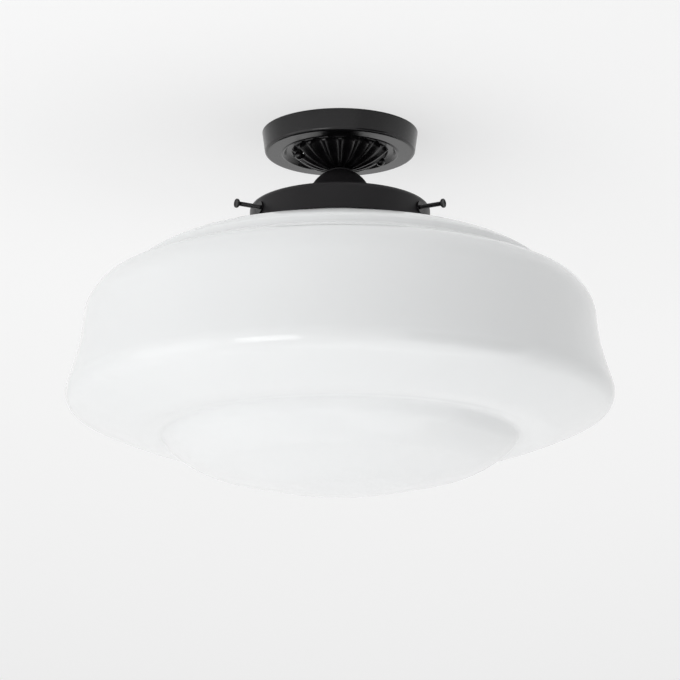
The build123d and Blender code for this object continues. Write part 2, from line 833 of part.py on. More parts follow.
with BuildPart() as terminal_inserts:
    with BuildSketch(block_front):
        with Locations(*[(pole, pole_z) for pole in poles]):
            Circle(insert_radius)
            Circle(insert_bore, mode=Mode.SUBTRACT)
    extrude(amount=-pole_length)
    with BuildSketch(bar_plane.offset(pole_z)):
        with Locations(*screw_seats):
            Circle(small_screw_radius + thread_fit)
    extrude(amount=-2 * insert_radius, mode=Mode.SUBTRACT)
write(terminal_inserts, "terminal_inserts")

with BuildPart() as terminal_screws:
    with BuildSketch(bar_plane.offset(pole_z - lead_radius - thread_fit)):
        with Locations(*screw_seats):
            Circle(small_screw_radius)
    extrude(amount=-pole_radius)
write(terminal_screws, "terminal_screws")

with BuildPart() as block_fixing_screw:
    with BuildSketch(bar_plane.offset(block_screw_seat)):
        with Locations(block_screw):
            Circle(bracket_screw_radius)
    extrude(amount=-block_screw_seat)
    with BuildSketch(bar_plane.offset(block_screw_seat)):
        with Locations(block_screw):
            Circle(block_head_radius)
    extrude(amount=-bracket_screw_radius)
write(block_fixing_screw, "block_fixing_screw")

# ---------------------------------------------------------------- earth bond
lug_bottom = -bar_thickness - earth_lug_thickness
earth_washer_bottom = lug_bottom - earth_washer_thickness
barrel_z = lug_bottom - lug_barrel_radius + earth_lug_thickness
barrel_end = earth_offset - earth_lug_radius
barrel_start = barrel_end - lug_barrel_length

with BuildPart() as earth_lug:
    with BuildSketch(bar_plane.offset(lug_bottom)):
        with Locations((earth_offset, 0)):
            Circle(earth_lug_radius)
        with Locations((barrel_end, 0)):
            Rectangle(earth_lug_radius, 2 * lug_barrel_radius)
        with Locations((earth_offset, 0)):
            Circle(earth_screw_radius + slip_fit, mode=Mode.SUBTRACT)
    extrude(amount=earth_lug_thickness)
    with BuildSketch(Plane(in_bar_frame(barrel_start, 0, barrel_z), z_dir=bar_plane.x_dir)):
        Circle(lug_barrel_radius)
    extrude(amount=lug_barrel_length)
    with BuildSketch(Plane(in_bar_frame(barrel_start, 0, barrel_z), z_dir=bar_plane.x_dir)):
        Circle(lead_radius + thread_fit)
    extrude(amount=lug_barrel_length, mode=Mode.SUBTRACT)
write(earth_lug, "earth_lug")

with BuildPart() as earth_washer:
    with BuildSketch(bar_plane.offset(earth_washer_bottom)):
        with Locations((earth_offset, 0)):
            Circle(earth_head_radius)
            Circle(earth_screw_radius + slip_fit, mode=Mode.SUBTRACT)
    extrude(amount=earth_washer_thickness)
write(earth_washer, "earth_washer")

with BuildPart() as earth_screw:
    with BuildSketch(bar_plane.offset(earth_washer_bottom)):
        with Locations((earth_offset, 0)):
            Circle(earth_head_radius)
    extrude(amount=-earth_head_height)
    fillet(earth_screw.edges().group_by(Axis.Z)[0], earth_head_round)
    with BuildSketch(bar_plane.offset(earth_washer_bottom)):
        with Locations((earth_offset, 0)):
            Circle(earth_screw_radius)
    extrude(amount=-earth_washer_bottom)
write(earth_screw, "earth_screw")

# ---------------------------------------------------------------- leads
bore_offset = nipple_bore - lead_radius - slip_fit
terminal_z = holder_top + terminal_height / 2
terminal_mouth = terminal_span / 2 - terminal_length / 2
mouth_z = nipple_top + lead_bend / 2
for name, side in (("live_lead", -1), ("neutral_lead", 1)):
    stops = [
        (side * pole_pitch, block_start + pole_length / 4, pole_z),
        (side * pole_pitch, block_start - 2 * lead_bend, pole_z),
        (side * bore_offset, 0, mouth_z),
        (side * bore_offset, 0, terminal_z),
        (0, side * terminal_mouth * lead_splay, terminal_z),
        (0, side * (terminal_mouth + terminal_length / 2), terminal_z),
    ]
    write(lead([in_bar_frame(*stop) for stop in stops], lead_bend), name)
earth_stops = [
    (0, block_start + pole_length / 4, pole_z),
    (0, lead_bend, pole_z),
    (0, 0, barrel_z),
    (barrel_end, 0, barrel_z),
]
write(lead([in_bar_frame(*stop) for stop in earth_stops], lead_bend), "earth_lead")
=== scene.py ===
"""Semi flush ceiling light: finishes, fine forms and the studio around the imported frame."""

import json
import logging
import math
from collections.abc import Iterator, Sequence
from contextlib import contextmanager
from dataclasses import dataclass
from enum import Enum

import bpy
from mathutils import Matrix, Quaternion, Vector


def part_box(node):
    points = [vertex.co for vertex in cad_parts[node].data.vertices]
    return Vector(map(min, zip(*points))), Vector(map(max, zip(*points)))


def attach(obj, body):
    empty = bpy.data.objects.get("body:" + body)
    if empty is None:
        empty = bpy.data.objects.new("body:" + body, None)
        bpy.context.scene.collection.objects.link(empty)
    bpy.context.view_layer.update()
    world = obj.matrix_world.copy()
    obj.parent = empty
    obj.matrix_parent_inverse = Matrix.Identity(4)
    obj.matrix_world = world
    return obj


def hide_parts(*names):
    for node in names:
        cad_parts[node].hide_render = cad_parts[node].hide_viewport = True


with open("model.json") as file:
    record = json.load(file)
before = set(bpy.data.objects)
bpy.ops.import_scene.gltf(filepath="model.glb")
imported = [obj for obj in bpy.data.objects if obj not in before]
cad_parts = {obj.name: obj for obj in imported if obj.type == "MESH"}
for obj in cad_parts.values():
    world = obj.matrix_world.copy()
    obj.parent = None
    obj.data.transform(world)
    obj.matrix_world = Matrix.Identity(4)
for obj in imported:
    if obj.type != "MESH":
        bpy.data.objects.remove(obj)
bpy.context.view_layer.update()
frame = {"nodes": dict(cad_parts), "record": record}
FULL_TURN = 2.0 * math.pi
ORIGIN = Vector((0.0, 0.0, 0.0))
UP = Vector((0.0, 0.0, 1.0))
ACROSS = Vector((0.0, 1.0, 0.0))
SEED = 0.001  # side of the small plane that an outline grows from
STRAIGHT = 1e-4  # turn under which a corner counts as straight
ROOM = 0.48  # share of a run that the round corner at its end may take
MERGE = 2e-6  # distance under which two points are one
LEAST_ROUND = 0.0005
NOISE_LOW, NOISE_HIGH = 0.3, 0.7  # values between which most of a noise pattern lies
WHITE = (1.0, 1.0, 1.0, 1.0)
CREASE = math.radians(38.0)
LOG = logging.getLogger("ceiling_light")


# ------------------------------------------------------------------ node building
class MaterialBuilder:
    """Lays out the nodes of one procedural material on Object coordinates."""

    def __init__(self, name: str) -> None:
        """Start a material with a Principled shader.

        Args:
            name: The material's name.
        """
        self.material = bpy.data.materials.new(name)
        self.material.use_nodes = True
        self.tree = self.material.node_tree
        self.shader = self.tree.nodes["Principled BSDF"]
        self.place = self.node("ShaderNodeTexCoord").outputs["Object"]

    def node(self, kind: str, **settings: object) -> bpy.types.Node:
        """Add a node.

        Args:
            kind: The node's type name.
            **settings: Properties to set on the node.

        Returns:
            The new node.
        """
        made = self.tree.nodes.new(kind)
        for key, value in settings.items():
            setattr(made, key, value)
        return made

    def link(self, source: bpy.types.NodeSocket, target: bpy.types.NodeSocket) -> None:
        """Join an output to an input."""
        self.tree.links.new(source, target)

    def stretched(self, scale: Sequence[float]) -> bpy.types.NodeSocket:
        """Scale the Object coordinates along each axis.

        Args:
            scale: Factors along X, Y and Z.

        Returns:
            The scaled coordinates.
        """
        mapping = self.node("ShaderNodeMapping")
        mapping.inputs["Scale"].default_value = scale
        self.link(self.place, mapping.inputs["Vector"])
        return mapping.outputs["Vector"]

    def noise(
        self, cycles: float, detail: float = 4.0, place: bpy.types.NodeSocket | None = None
    ) -> bpy.types.NodeSocket:
        """Add a noise pattern.

        Args:
            cycles: Pattern cycles in a metre.
            detail: Octaves of finer noise.
            place: Coordinates to read, or Object coordinates.

        Returns:
            The noise value.
        """
        made = self.node("ShaderNodeTexNoise")
        made.inputs["Scale"].default_value = cycles
        made.inputs["Detail"].default_value = detail
        self.link(place or self.place, made.inputs["Vector"])
        return made.outputs["Fac"]

    def ramp(
        self, value: bpy.types.NodeSocket, low: Sequence[float], high: Sequence[float],
        start: float = NOISE_LOW, end: float = NOISE_HIGH,
    ) -> bpy.types.NodeSocket:
        """Turn a value into a colour between two.

        Args:
            value: The value to read.
            low: Linear colour at the start.
            high: Linear colour at the end.
            start: Value that gives the low colour.
            end: Value that gives the high colour.

        Returns:
            The colour.
        """
        made = self.node("ShaderNodeValToRGB")
        stops = made.color_ramp.elements
        stops[0].position, stops[1].position = start, end
        stops[0].color, stops[1].color = (*low, 1.0), (*high, 1.0)
        self.link(value, made.inputs["Fac"])
        return made.outputs["Color"]

    def spread(
        self, value: bpy.types.NodeSocket, low: float, high: float
    ) -> bpy.types.NodeSocket:
        """Stretch a noise value over a range.

        Args:
            value: The value to read.
            low: Result where the value is NOISE_LOW.
            high: Result where the value is NOISE_HIGH.

        Returns:
            The stretched value.
        """
        made = self.node("ShaderNodeMapRange")
        made.inputs["From Min"].default_value = NOISE_LOW
        made.inputs["From Max"].default_value = NOISE_HIGH
        made.inputs["To Min"].default_value = low
        made.inputs["To Max"].default_value = high
        self.link(value, made.inputs["Value"])
        return made.outputs["Result"]

    def bump(
        self, height: bpy.types.NodeSocket, depth: float, strength: float = 1.0,
        below: bpy.types.NodeSocket | None = None,
    ) -> bpy.types.NodeSocket:
        """Add a bump from a height.

        Args:
            height: Height pattern.
            depth: Depth of the pattern in metres.
            strength: Share of the bump that shows.
            below: Normal of a coarser bump under this one.

        Returns:
            The bumped normal, which is also linked to the shader.
        """
        made = self.node("ShaderNodeBump")
        made.inputs["Distance"].default_value = depth
        made.inputs["Strength"].default_value = strength
        self.link(height, made.inputs["Height"])
        if below is not None:
            self.link(below, made.inputs["Normal"])
        self.link(made.outputs["Normal"], self.shader.inputs["Normal"])
        return made.outputs["Normal"]


# ------------------------------------------------------------------ finishes
@dataclass(frozen=True)
class BlackCoat:
    """Black coat on cast and spun metal."""

    name: str
    dark: tuple[float, float, float]
    pale: tuple[float, float, float]
    roughness: tuple[float, float]
    gloss: float
    peel_cycles: float = 900.0
    peel_depth: float = 0.00003
    peel_strength: float = 0.4
    cloud_cycles: float = 14.0

    def material(self) -> bpy.types.Material:
        """Return the coat's material."""
        make = MaterialBuilder(self.name)
        cloud = make.noise(self.cloud_cycles, 6.0)
        grain = make.noise(self.peel_cycles, 2.0)
        make.link(make.ramp(cloud, self.dark, self.pale), make.shader.inputs["Base Color"])
        make.link(make.spread(cloud, *self.roughness), make.shader.inputs["Roughness"])
        make.shader.inputs["Specular IOR Level"].default_value = self.gloss
        make.bump(grain, self.peel_depth, self.peel_strength)
        return make.material


@dataclass(frozen=True)
class OpalGlass:
    """Blown opal white glass with a soft gloss."""

    shaded: tuple[float, float, float] = (0.800, 0.812, 0.816)
    clear: tuple[float, float, float] = (0.832, 0.842, 0.844)
    roughness: tuple[float, float] = (0.12, 0.17)
    scatter: float = 0.35
    scatter_depth: float = 0.006
    wave_cycles: float = 7.0
    wave_depth: float = 0.00016
    wave_strength: float = 0.5
    seed_cycles: float = 420.0
    seed_depth: float = 0.000004
    seed_strength: float = 0.3
    refraction: float = 1.5

    def material(self) -> bpy.types.Material:
        """Return the glass's material."""
        make = MaterialBuilder("opal_glass")
        cloud = make.noise(self.wave_cycles / 2, 3.0)
        make.link(make.ramp(cloud, self.shaded, self.clear), make.shader.inputs["Base Color"])
        make.link(make.spread(cloud, *self.roughness), make.shader.inputs["Roughness"])
        make.shader.inputs["Subsurface Weight"].default_value = self.scatter
        make.shader.inputs["Subsurface Scale"].default_value = self.scatter_depth
        make.shader.inputs["Subsurface Radius"].default_value = (1.0, 1.0, 1.0)
        make.shader.inputs["IOR"].default_value = self.refraction
        waves = make.noise(self.wave_cycles, 1.0)
        seeds = make.noise(self.seed_cycles, 1.0)
        swell = make.bump(waves, self.wave_depth, self.wave_strength)
        make.bump(seeds, self.seed_depth, self.seed_strength, swell)
        return make.material


@dataclass(frozen=True)
class BareMetal:
    """Bare or plated metal with the fine lines that forming leaves on it."""

    name: str
    dark: tuple[float, float, float]
    pale: tuple[float, float, float]
    roughness: tuple[float, float] = (0.24, 0.42)
    line_cycles: float = 1500.0
    line_stretch: tuple[float, float, float] = (0.12, 0.12, 1.0)
    line_depth: float = 0.00002
    line_strength: float = 0.5
    stain_cycles: float = 60.0

    def material(self) -> bpy.types.Material:
        """Return the metal's material."""
        make = MaterialBuilder(self.name)
        lines = make.noise(self.line_cycles, 2.0, make.stretched(self.line_stretch))
        stain = make.noise(self.stain_cycles, 5.0)
        make.link(make.ramp(stain, self.dark, self.pale), make.shader.inputs["Base Color"])
        make.link(make.spread(lines, *self.roughness), make.shader.inputs["Roughness"])
        make.shader.inputs["Metallic"].default_value = 1.0
        make.bump(lines, self.line_depth, self.line_strength)
        return make.material


@dataclass(frozen=True)
class Glazed:
    """Glazed ceramic or frosted glass: an even body under a hard, faintly uneven surface."""

    name: str
    body: tuple[float, float, float]
    speck: tuple[float, float, float]
    roughness: tuple[float, float] = (0.10, 0.18)
    speck_cycles: float = 700.0
    speck_range: tuple[float, float] = (0.22, 0.34)
    pool_cycles: float = 80.0
    pool_depth: float = 0.00015
    pool_strength: float = 0.4

    def material(self) -> bpy.types.Material:
        """Return the glazed material."""
        make = MaterialBuilder(self.name)
        specks = make.noise(self.speck_cycles, 2.0)
        pools = make.noise(self.pool_cycles, 2.0)
        colour = make.ramp(specks, self.speck, self.body, *self.speck_range)
        make.link(colour, make.shader.inputs["Base Color"])
        make.link(make.spread(pools, *self.roughness), make.shader.inputs["Roughness"])
        make.bump(pools, self.pool_depth, self.pool_strength)
        return make.material


@dataclass(frozen=True)
class Moulded:
    """Moulded plastic, such as a terminal block or a lead's insulation."""

    name: str
    colour: tuple[float, float, float]
    shade: tuple[float, float, float]
    roughness: tuple[float, float] = (0.38, 0.52)
    cloud_cycles: float = 120.0
    grain_cycles: float = 1800.0
    grain_depth: float = 0.00003
    grain_strength: float = 0.5

    def material(self) -> bpy.types.Material:
        """Return the plastic's material."""
        make = MaterialBuilder(self.name)
        cloud = make.noise(self.cloud_cycles, 3.0)
        grain = make.noise(self.grain_cycles, 2.0)
        make.link(make.ramp(cloud, self.shade, self.colour), make.shader.inputs["Base Color"])
        make.link(make.spread(grain, *self.roughness), make.shader.inputs["Roughness"])
        make.bump(grain, self.grain_depth, self.grain_strength)
        return make.material


@dataclass(frozen=True)
class StripedSleeve:
    """Two-coloured insulation of the earth lead."""

    name: str = "green_yellow_sleeve"
    green: tuple[float, float, float] = (0.03, 0.26, 0.05)
    yellow: tuple[float, float, float] = (0.72, 0.58, 0.03)
    bands: float = 130.0
    band_edge: tuple[float, float] = (0.60, 0.64)
    roughness: tuple[float, float] = (0.38, 0.5)
    grain_cycles: float = 1800.0
    grain_depth: float = 0.00003
    grain_strength: float = 0.5

    def material(self) -> bpy.types.Material:
        """Return the striped material."""
        make = MaterialBuilder(self.name)
        wave = make.node("ShaderNodeTexWave", bands_direction="DIAGONAL")
        wave.inputs["Scale"].default_value = self.bands
        make.link(make.place, wave.inputs["Vector"])
        stripes = make.ramp(wave.outputs["Fac"], self.green, self.yellow, *self.band_edge)
        make.link(stripes, make.shader.inputs["Base Color"])
        grain = make.noise(self.grain_cycles, 2.0)
        make.link(make.spread(grain, *self.roughness), make.shader.inputs["Roughness"])
        make.bump(grain, self.grain_depth, self.grain_strength)
        return make.material


class Finish(Enum):
    """The light's finishes, by the record's material slot."""

    BLACK_METAL = BlackCoat(
        "satin_black", (0.0024, 0.0022, 0.0027), (0.0040, 0.0036, 0.0042), (0.19, 0.26), 0.42
    )
    MATT_BLACK_METAL = BlackCoat(
        "matt_black", (0.0110, 0.0102, 0.0115), (0.0145, 0.0136, 0.0148), (0.38, 0.46), 0.20
    )
    OPAL_GLASS = OpalGlass()
    PLATED_STEEL = BareMetal("plated_steel", (0.50, 0.51, 0.53), (0.68, 0.69, 0.70))
    BRASS = BareMetal("brass", (0.58, 0.39, 0.13), (0.76, 0.55, 0.24))
    LAMP_CAP_METAL = BareMetal("lamp_cap_metal", (0.70, 0.70, 0.71), (0.84, 0.84, 0.85))
    PORCELAIN = Glazed("porcelain", (0.80, 0.79, 0.75), (0.62, 0.60, 0.55))
    FROSTED_GLASS = Glazed("frosted_glass", (0.84, 0.84, 0.82), (0.80, 0.80, 0.78), (0.45, 0.6))
    BLACK_CERAMIC = Glazed("black_ceramic", (0.012, 0.012, 0.014), (0.03, 0.03, 0.03))
    WHITE_PLASTIC = Moulded("white_plastic", (0.78, 0.78, 0.75), (0.72, 0.72, 0.69))
    BROWN_SLEEVE = Moulded("brown_sleeve", (0.13, 0.045, 0.018), (0.09, 0.03, 0.012))
    BLUE_SLEEVE = Moulded("blue_sleeve", (0.02, 0.10, 0.42), (0.015, 0.07, 0.33))
    GREEN_SLEEVE = StripedSleeve()

    @property
    def slot(self) -> str:
        """Name of the record's slot."""
        return self.name.lower().removeprefix("matt_")


MATT_NODES = {"gallery": Finish.MATT_BLACK_METAL}


class Workshop:
    """Keeps one material for each finish and puts it on pieces and CAD nodes."""

    def __init__(self) -> None:
        """Start with no materials made."""
        self.made: dict[Finish, bpy.types.Material] = {}

    def material(self, finish: Finish) -> bpy.types.Material:
        """Return the finish's material, made once."""
        if finish not in self.made:
            self.made[finish] = finish.value.material()
        return self.made[finish]

    def dress(self, piece: bpy.types.Object, finish: Finish) -> None:
        """Give a piece one finish all over.

        Args:
            piece: The mesh object.
            finish: Its finish.
        """
        piece.data.materials.clear()
        piece.data.materials.append(self.material(finish))

    def dress_nodes(self) -> None:
        """Give each CAD node the finish of its slot in the record."""
        by_slot = {finish.name.lower(): finish for finish in Finish}
        for part in frame["record"]["subparts"]:
            node = frame["nodes"][part["node"]]
            finish = MATT_NODES.get(part["node"], by_slot[part["material_slot"]])
            material = self.material(finish)
            if not node.data.materials:
                node.data.materials.append(material)
            for index in range(len(node.data.materials)):
                node.data.materials[index] = material
            LOG.info("finish %s on node %s", finish.slot, node.name)


# ------------------------------------------------------------------ modelling helpers
def select_only(piece: bpy.types.Object) -> None:
    """Select one object and make it active."""
    bpy.ops.object.select_all(action="DESELECT")
    piece.select_set(True)
    bpy.context.view_layer.objects.active = piece


@contextmanager
def editing(piece: bpy.types.Object) -> Iterator[None]:
    """Open a piece in edit mode with nothing selected, and close it after."""
    select_only(piece)
    bpy.ops.object.mode_set(mode="EDIT")
    bpy.ops.mesh.select_all(action="DESELECT")
    yield
    bpy.ops.object.mode_set(mode="OBJECT")


@dataclass(frozen=True)
class Corner:
    """A corner of a turned outline: its place in the half section and its rounding."""

    radius: float
    height: float
    rounding: float = 0.0

    @property
    def place(self) -> Vector:
        """The corner in the XZ plane."""
        return Vector((self.radius, 0.0, self.height))


@dataclass(frozen=True)
class Bend:
    """The arc that rounds one corner: where it starts, its centre, its axis and its turn."""

    start: Vector
    centre: Vector
    axis: Vector
    turn: float
    radius: float


def bend_at(before: Corner, corner: Corner, after: Corner) -> Bend | None:
    """Work out the arc that rounds a corner, as large as the two runs leave room for.

    Args:
        before: The corner before this one.
        corner: The corner to round.
        after: The corner after it.

    Returns:
        The arc, or None where the corner stays sharp or has no turn.
    """
    run_in, run_out = corner.place - before.place, after.place - corner.place
    turn = run_in.angle(run_out)
    if corner.rounding <= 0.0 or turn < STRAIGHT:
        return None
    tangent = min(corner.rounding * math.tan(turn / 2.0), ROOM * min(run_in.length, run_out.length))
    radius = tangent / math.tan(turn / 2.0)
    inward = (run_out.normalized() - run_in.normalized()).normalized()
    return Bend(
        start=corner.place - run_in.normalized() * tangent,
        centre=corner.place + inward * (radius / math.cos(turn / 2.0)),
        axis=run_in.cross(run_out).normalized(),
        turn=turn,
        radius=radius,
    )


def draw_outline(corners: Sequence[Corner], chord: float) -> None:
    """Draw an outline in the mesh that is being edited: straight runs and round corners.

    Args:
        corners: The corners in order. The first and last stay sharp.
        chord: Longest step along a round corner.
    """
    here = corners[0].place
    for before, corner, after in zip(corners, corners[1:], corners[2:]):
        bend = bend_at(before, corner, after)
        end = corner.place if bend is None else bend.start
        bpy.ops.mesh.extrude_region_move(TRANSFORM_OT_translate={"value": end - here})
        here = end
        if bend is not None:
            steps = max(2, math.ceil(bend.radius * bend.turn / chord))
            bpy.ops.mesh.spin(steps=steps, angle=-bend.turn, center=bend.centre, axis=bend.axis)
            here = bend.centre + Quaternion(bend.axis, bend.turn) @ (bend.start - bend.centre)
    bpy.ops.mesh.extrude_region_move(TRANSFORM_OT_translate={"value": corners[-1].place - here})


def turned(name: str, corners: Sequence[Corner], facets: int, chord: float) -> bpy.types.Object:
    """Turn an outline about the light's axis, as on a lathe.

    Args:
        name: Name of the new piece.
        corners: The outline, which starts and ends on the axis or closes on itself.
        facets: Facets in a full turn.
        chord: Longest step along a round corner of the outline.

    Returns:
        The turned piece.
    """
    bpy.ops.object.select_all(action="DESELECT")
    bpy.ops.mesh.primitive_plane_add(size=SEED)
    piece = bpy.context.active_object
    piece.name = piece.data.name = name
    with editing(piece):
        bpy.ops.mesh.select_all(action="SELECT")
        bpy.ops.mesh.merge(type="CENTER")
        bpy.ops.transform.translate(value=corners[0].place)
        draw_outline(corners, chord)
        bpy.ops.mesh.select_all(action="SELECT")
        bpy.ops.mesh.spin(steps=facets, angle=FULL_TURN, center=ORIGIN, axis=UP)
        bpy.ops.mesh.select_all(action="SELECT")
        bpy.ops.mesh.remove_doubles(threshold=MERGE)
        bpy.ops.mesh.delete_loose(use_verts=True, use_edges=True, use_faces=False)
        bpy.ops.mesh.select_all(action="SELECT")
        bpy.ops.mesh.normals_make_consistent(inside=False)
    smooth(piece)
    return piece


def smooth(piece: bpy.types.Object, angle: float = CREASE) -> None:
    """Shade a piece smooth, with edges kept crisp above an angle."""
    select_only(piece)
    bpy.ops.object.shade_smooth_by_angle(angle=angle)


def set_in(corners: Sequence[Corner], wall: float) -> list[Corner]:
    """Move an outline in by the thickness of its wall.

    Args:
        corners: The outer outline. Its first and last runs keep their ends' heights or axis.
        wall: The wall's thickness.

    Returns:
        The inner outline, in the same order, without its first and last corner.
    """
    inner = []
    for before, corner, after in zip(corners, corners[1:], corners[2:]):
        run_in = (corner.place - before.place).normalized()
        run_out = (after.place - corner.place).normalized()
        turn = run_in.angle(run_out)
        side_in = run_in.cross(ACROSS)
        side_out = run_out.cross(ACROSS)
        middle = (side_in + side_out).normalized() / math.cos(turn / 2.0)
        place = corner.place - middle * wall
        tightens = run_in.cross(run_out).dot(ACROSS) > 0.0
        rounding = corner.rounding + (-wall if tightens else wall)
        inner.append(Corner(place.x, place.z, max(rounding, LEAST_ROUND)))
    return inner


# ------------------------------------------------------------------ shade
@dataclass
class GlassShade:
    """The blown opal shade: a rolled lip, a stepped shoulder, a wide rim and a dished base."""

    node: str = "glass_shade"
    wall: float = 0.0035
    throat: float = 0.0713
    lip: Corner = Corner(0.0745, 0.0053, 0.0022)
    lip_root: float = 0.0012
    facets: int = 256
    chord: float = 0.0022
    outline: tuple[Corner, ...] = (
        Corner(0.0713, 0.0195, 0.005),
        Corner(0.1629, 0.0481, 0.064),
        Corner(0.1773, 0.0570, 0.003),
        Corner(0.1786, 0.0640, 0.003),
        Corner(0.2084, 0.0756, 0.022),
        Corner(0.2206, 0.0915, 0.032),
        Corner(0.2242, 0.1290, 0.174),
        Corner(0.2391, 0.1767, 0.0164),
        Corner(0.2130, 0.1897, 0.250),
        Corner(0.1780, 0.2033, 0.061),
        Corner(0.1540, 0.2033, 0.005),
        Corner(0.1469, 0.2136, 0.032),
        Corner(0.1235, 0.2295, 0.074),
        Corner(0.0473, 0.2478, 0.190),
    )

    def build(self, shop: Workshop) -> None:
        """Turn the shade, hang it where the frame has it and dress it.

        Args:
            shop: Where the finishes are kept.
        """
        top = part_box(self.node)[1].z
        outer = [Corner(c.radius, top - c.height, c.rounding) for c in self.outline]
        pole = Corner(0.0, outer[-1].height)
        lip_foot = top - self.lip.height
        inner = set_in([Corner(self.throat, top), *outer, pole], self.wall)
        corners = [
            Corner(self.throat - self.wall, top),
            Corner(self.lip.radius, top, self.lip.rounding),
            Corner(self.lip.radius, lip_foot, self.lip.rounding),
            Corner(self.throat, lip_foot, self.lip_root),
            *outer,
            pole,
            Corner(0.0, pole.height + self.wall),
            *reversed(inner),
            Corner(self.throat - self.wall, top),
        ]
        piece = turned("blown_shade", corners, self.facets, self.chord)
        shop.dress(piece, Finish.OPAL_GLASS)
        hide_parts(self.node)
        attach(piece, "fixture")
        LOG.info("%s: %d faces", piece.name, len(piece.data.polygons))


# ------------------------------------------------------------------ threads and screws
@dataclass(frozen=True)
class Thread:
    """A helical thread: the radius over its crests, its pitch and how deep it is cut."""

    radius: float
    pitch: float
    depth: float
    steps: int = 28

    def rod(self, name: str, foot: float, top: float, filled: bool = True) -> bpy.types.Object:
        """Wind the thread up a rod that stands on the axis.

        Args:
            name: Name of the new piece.
            foot: Height of its lower end.
            top: Height of its upper end.
            filled: Whether its ends are closed.

        Returns:
            The rod.
        """
        bpy.ops.object.select_all(action="DESELECT")
        bpy.ops.mesh.primitive_plane_add(size=SEED)
        rod = bpy.context.active_object
        rod.name = rod.data.name = name
        flank = Vector((self.depth, 0.0, self.pitch / 2.0))
        back = Vector((-self.depth, 0.0, self.pitch / 2.0))
        with editing(rod):
            bpy.ops.mesh.select_all(action="SELECT")
            bpy.ops.mesh.merge(type="CENTER")
            start = Vector((self.radius - self.depth, 0.0, foot - self.pitch))
            bpy.ops.transform.translate(value=start)
            bpy.ops.mesh.extrude_region_move(TRANSFORM_OT_translate={"value": flank})
            bpy.ops.mesh.extrude_region_move(TRANSFORM_OT_translate={"value": back})
        wind = rod.modifiers.new("wind", "SCREW")
        wind.axis = "Z"
        wind.angle = FULL_TURN
        wind.screw_offset = self.pitch
        wind.iterations = math.ceil((top - foot) / self.pitch) + 1
        wind.steps = wind.render_steps = self.steps
        bpy.ops.object.modifier_apply(modifier=wind.name)
        with editing(rod):
            bpy.ops.mesh.select_all(action="SELECT")
            bpy.ops.mesh.remove_doubles(threshold=MERGE)
            for height, facing in ((foot, UP), (top, -UP)):
                bpy.ops.mesh.select_all(action="SELECT")
                bpy.ops.mesh.bisect(
                    plane_co=(0.0, 0.0, height), plane_no=facing, use_fill=filled, clear_inner=True
                )
            bpy.ops.mesh.select_all(action="SELECT")
            bpy.ops.mesh.normals_make_consistent(inside=False)
        return rod


def joined(name: str, pieces: Sequence[bpy.types.Object]) -> bpy.types.Object:
    """Join pieces into the first one and name it."""
    select_only(pieces[0])
    for piece in pieces:
        piece.select_set(True)
    bpy.ops.object.join()
    pieces[0].name = pieces[0].data.name = name
    return pieces[0]


def copied(piece: bpy.types.Object, name: str) -> bpy.types.Object:
    """Copy a piece with its own mesh."""
    select_only(piece)
    bpy.ops.object.duplicate(linked=False)
    copy = bpy.context.active_object
    copy.name = copy.data.name = name
    return copy


def set_down(piece: bpy.types.Object, place: Vector, turn: Sequence[float]) -> None:
    """Turn and move a piece, and keep its place in its mesh.

    Args:
        piece: The piece, modelled on the Z axis.
        place: Where its origin goes.
        turn: Euler turns about X, Y and Z.
    """
    select_only(piece)
    piece.location, piece.rotation_euler = place, turn
    bpy.ops.object.transform_apply(location=True, rotation=True, scale=True)


